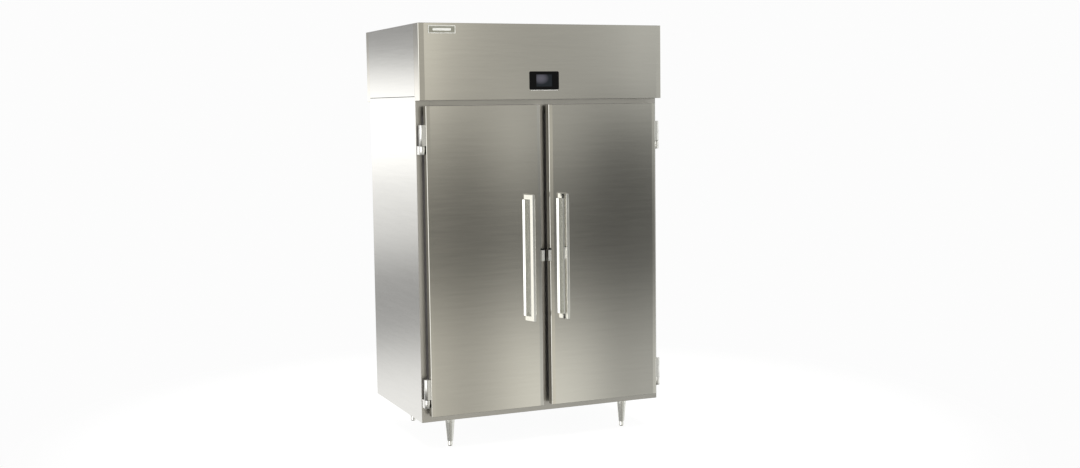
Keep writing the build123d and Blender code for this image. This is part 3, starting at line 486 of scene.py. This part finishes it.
def lathe(name, centre, profile, material):
    """Turns a profile of (radius, height) about an upright axis and closes both ends."""
    points, faces = [], []
    for radius, z in profile:
        for i in range(LATHE_SIDES):
            angle = 2 * math.pi * i / LATHE_SIDES
            points.append((centre.x + radius * math.cos(angle), centre.y + radius * math.sin(angle), z))
    for ring in range(len(profile) - 1):
        for i in range(LATHE_SIDES):
            after = (i + 1) % LATHE_SIDES
            a, b = ring * LATHE_SIDES, (ring + 1) * LATHE_SIDES
            faces.append((a + i, a + after, b + after, b + i))
    faces.append(list(range(LATHE_SIDES))[::-1])
    last = (len(profile) - 1) * LATHE_SIDES
    faces.append([last + i for i in range(LATHE_SIDES)])
    piece = new_mesh(name, points, faces, material, smooth=True)
    edges = piece.modifiers.new("edges", "EDGE_SPLIT")
    edges.split_angle = math.radians(30)
    return piece


# Cast stainless, tumbled bright: a pale metal with a soft gloss that takes on the tone of the floor.
leg_casting = mottled("tumbled_stainless_leg", 400.0, 2.0, "#D6D6D0", "#E6E6E2", 0.22, 0.75)[0]

leg_low, leg_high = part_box("legs")
corners = ("front_left", "front_right", "rear_left", "rear_right")
for number, corner in enumerate(corners):
    low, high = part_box(f"{corner}_foot")
    centre = (low + high) / 2
    top = leg_high.z
    leg = lathe(f"{corner}_bullet_leg", centre, [
        (0.0125, leg_low.z + 0.0005), (0.0148, leg_low.z + 0.002), (0.0152, leg_low.z + 0.006),
        (0.0195, leg_low.z + 0.055), (0.0222, leg_low.z + 0.085), (0.0232, top - 0.022),
        (0.0222, top - 0.0215), (0.0222, top - 0.018), (0.0238, top - 0.0175), (0.0240, top - 0.016),
        (0.0240, top - 0.002), (0.0235, top)], leg_casting)
    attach(leg, "cabinet")
    if number == 0:
        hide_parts("legs")
    foot = lathe(f"{corner}_foot_pad", centre, [
        (0.0105, low.z), (0.0120, low.z + 0.001), (0.0125, low.z + 0.003), (0.0125, low.z + 0.010),
        (0.0115, low.z + 0.012), (0.0115, low.z + 0.022), (0.0110, low.z + 0.024), (0.0078, low.z + 0.0242),
        (0.0078, high.z - 0.001), (0.0070, high.z)], polished)
    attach(foot, f"{corner}_levelling_foot")
    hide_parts(f"{corner}_foot")

# ---------------------------------------------------------------- screws
# Nine stainless pan-head screws with a cross recess hold the back panel to the body. They use the
# handles' polished steel.
SCREW_RADIUS, SCREW_RISE, SCREW_SIDES = 0.0045, 0.0022, 20
SCREW_EDGE, SCREW_TOP_EDGE = 0.03, 0.06
# shares of the radius and of the rise, from the panel up over the dome
SCREW_DOME = [(1.0, 0.0), (1.0, 0.35), (0.86, 0.75), (0.6, 0.95), (0.36, 1.0)]
RECESS_FLOOR, RECESS_ARM, RECESS_WAIST = 0.35, 0.30, 0.12

panel_low, panel_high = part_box("back_panel")
turns = [2 * math.pi * i / SCREW_SIDES for i in range(SCREW_SIDES)]
arm_step = SCREW_SIDES // 4
points, faces = [], []
for z in (panel_low.z + SCREW_EDGE, (panel_low.z + panel_high.z) / 2, panel_high.z - SCREW_TOP_EDGE):
    for x in (panel_low.x + SCREW_EDGE, 0.0, panel_high.x - SCREW_EDGE):
        base = len(points)
        rings = [(rise, [share] * SCREW_SIDES) for share, rise in SCREW_DOME]
        recess = [RECESS_WAIST if i % arm_step else RECESS_ARM for i in range(SCREW_SIDES)]
        for rise, shares in rings + [(RECESS_FLOOR, recess)]:
            points += [(x + SCREW_RADIUS * share * math.cos(angle), panel_high.y + SCREW_RISE * rise,
                        z - SCREW_RADIUS * share * math.sin(angle)) for share, angle in zip(shares, turns)]
        for ring in range(len(SCREW_DOME)):
            a, b = base + ring * SCREW_SIDES, base + (ring + 1) * SCREW_SIDES
            for i in range(SCREW_SIDES):
                after = (i + 1) % SCREW_SIDES
                faces.append((a + i, a + after, b + after, b + i))
        faces.append([b + i for i in range(SCREW_SIDES)])
        faces.append([base + i for i in range(SCREW_SIDES)][::-1])
screws = new_mesh("back_panel_screws", points, faces, polished)
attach(screws, "cabinet")

# ---------------------------------------------------------------- the room inside
# The liner, pilasters and clips are satin stainless, the duct the same. Foam fills the walls and isn't
# seen; dark plastic breaker strips close the gap between liner and face frame.
finish_nodes(liner_satin, ["left_liner", "right_liner", "back_liner", "ceiling_liner", "floor_liner"],
             edge=None)
finish_nodes(liner_satin, ["shelf_pilasters", "shelf_clips", "air_duct"], edge=None)
# foamed in place: cream, matt, with cells about 3 mm across
foam = mottled("rigid_foam_cream", 300.0, 4.0, "#D9C79A", "#E8DAB4", 0.9)[0]
finish_nodes(foam, ["cabinet_insulation", "left_door_insulation", "right_door_insulation"], edge=None)
# moulded ABS with a fine sanded face
breaker = mottled("dark_breaker_plastic", 800.0, 2.0, "#3C3C3E", "#4A4A4C", 0.5)[0]
finish_nodes(breaker, ["breaker_strips"], edge=None)

# ---------------------------------------------------------------- shelves
# Each shelf is bright zinc-plated wire welded to a rod frame, which shows as fine hard glints.
shelf_wire = mottled("bright_plated_wire", 60.0, 3.0, "#C3C4C6", "#DADBDC", 0.22, 1.0)[0]
finish_nodes(shelf_wire, ["left_shelves", "right_shelves"], edge=None)

# ---------------------------------------------------------------- heat and humidity
# The fan motor is a painted casting, the element a heat-dulled sheath, the steam tank plain welded sheet,
# and the control board green laminate. All of it sits in the hood or the duct.
motor_paint = mottled("motor_casting_painted", 250.0, 3.0, "#4A4D52", "#5A5E63", 0.45)[0]
finish_nodes(motor_paint, ["fan_motor"], edge=0.001)
sheath = mottled("heat_dulled_sheath", 40.0, 4.0, "#5A5048", "#7C7268", 0.5, 1.0)[0]
finish_nodes(sheath, ["air_heater"], edge=None)
tank_steel = brushed("welded_tank_steel", "#B9B9B7", 0.4, 0.2, 0, streak=0.06)
finish_nodes(tank_steel, ["steam_tank", "steam_pipe"], edge=None)
laminate = mottled("green_board_laminate", 600.0, 2.0, "#1F5A34", "#28683F", 0.4)[0]
finish_nodes(laminate, ["control_board"], edge=None)

# ---------------------------------------------------------------- inlets
# A machined brass water spigot and a moulded black power inlet stand on the back panel.
inlet_brass = mottled("machined_brass", 120.0, 3.0, "#B08D4A", "#C9A765", 0.28, 1.0)[0]
finish_nodes(inlet_brass, ["water_inlet"], edge=0.0006)
inlet_plastic = mottled("black_inlet_plastic", 500.0, 2.0, "#161617", "#202022", 0.5)[0]
finish_nodes(inlet_plastic, ["power_inlet"], edge=0.001)
